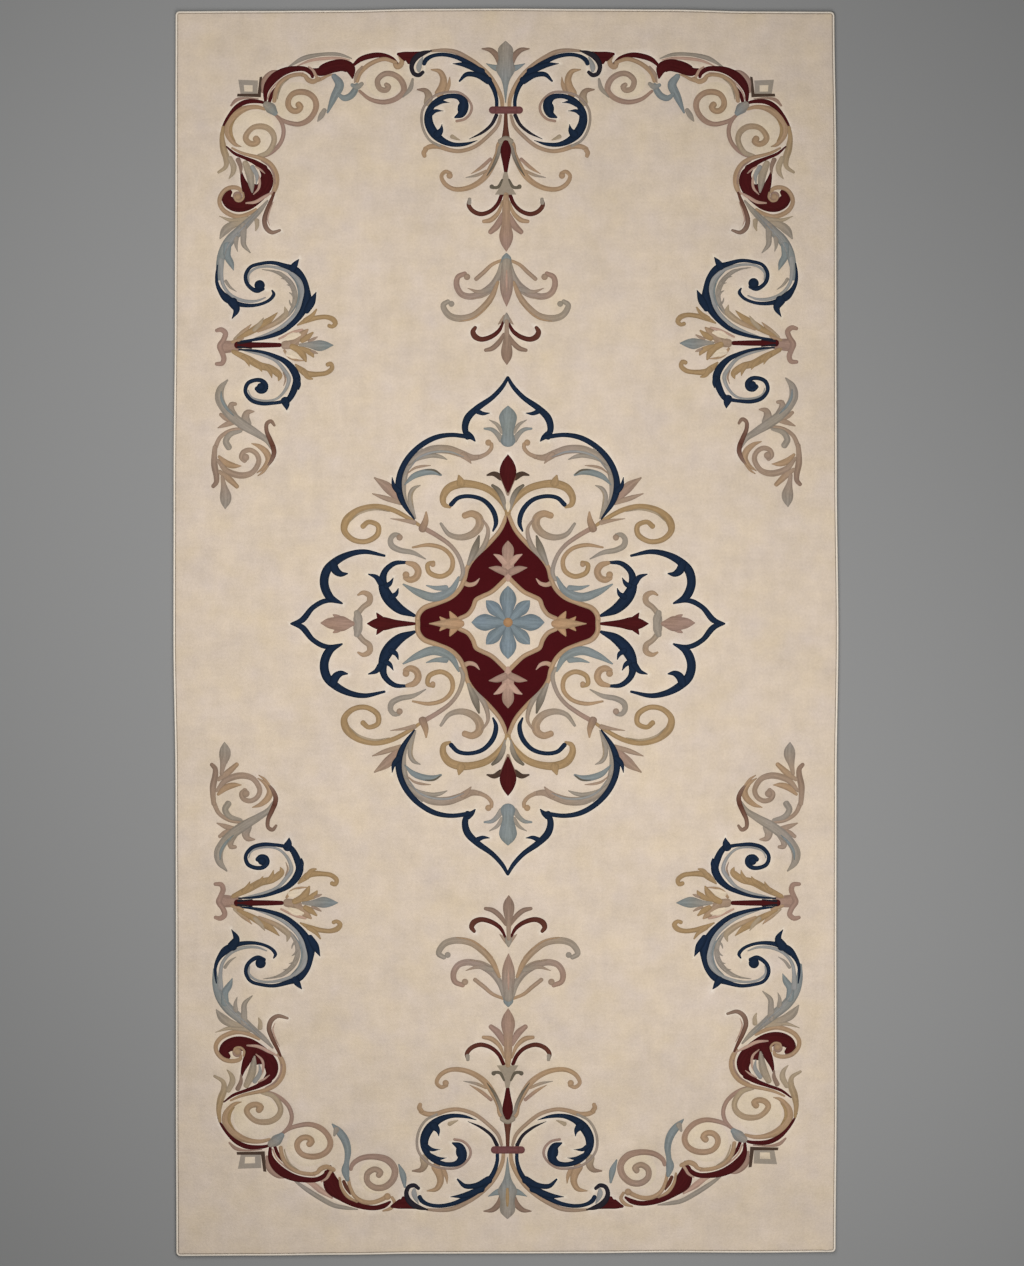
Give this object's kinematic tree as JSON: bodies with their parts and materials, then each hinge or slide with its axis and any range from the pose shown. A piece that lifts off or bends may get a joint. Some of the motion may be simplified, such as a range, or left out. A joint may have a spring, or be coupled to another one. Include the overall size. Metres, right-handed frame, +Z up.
{
  "type": "hand-tufted rug",
  "caption": "Flat rectangular hand-tufted rug, about twice as long as wide, with low cut pile, classical scrollwork, a lobed centre medallion and a yarn-whipped edge.",
  "frame": {"origin": "on the floor, under the middle of the rug's outline", "axes": "+Z up, out of the pile; +Y along the rug's length; +X across it"},
  "size_m": [1.6, 3, 0.012],
  "materials": {
    "pile": "matt cut wool pile, mottled ivory",
    "whipping": "matt wool yarn, wound close"
  },
  "bodies": {
    "root": {"tufted_pile": "pile", "whipped_edge": "whipping"}
  },
  "joints": []
}
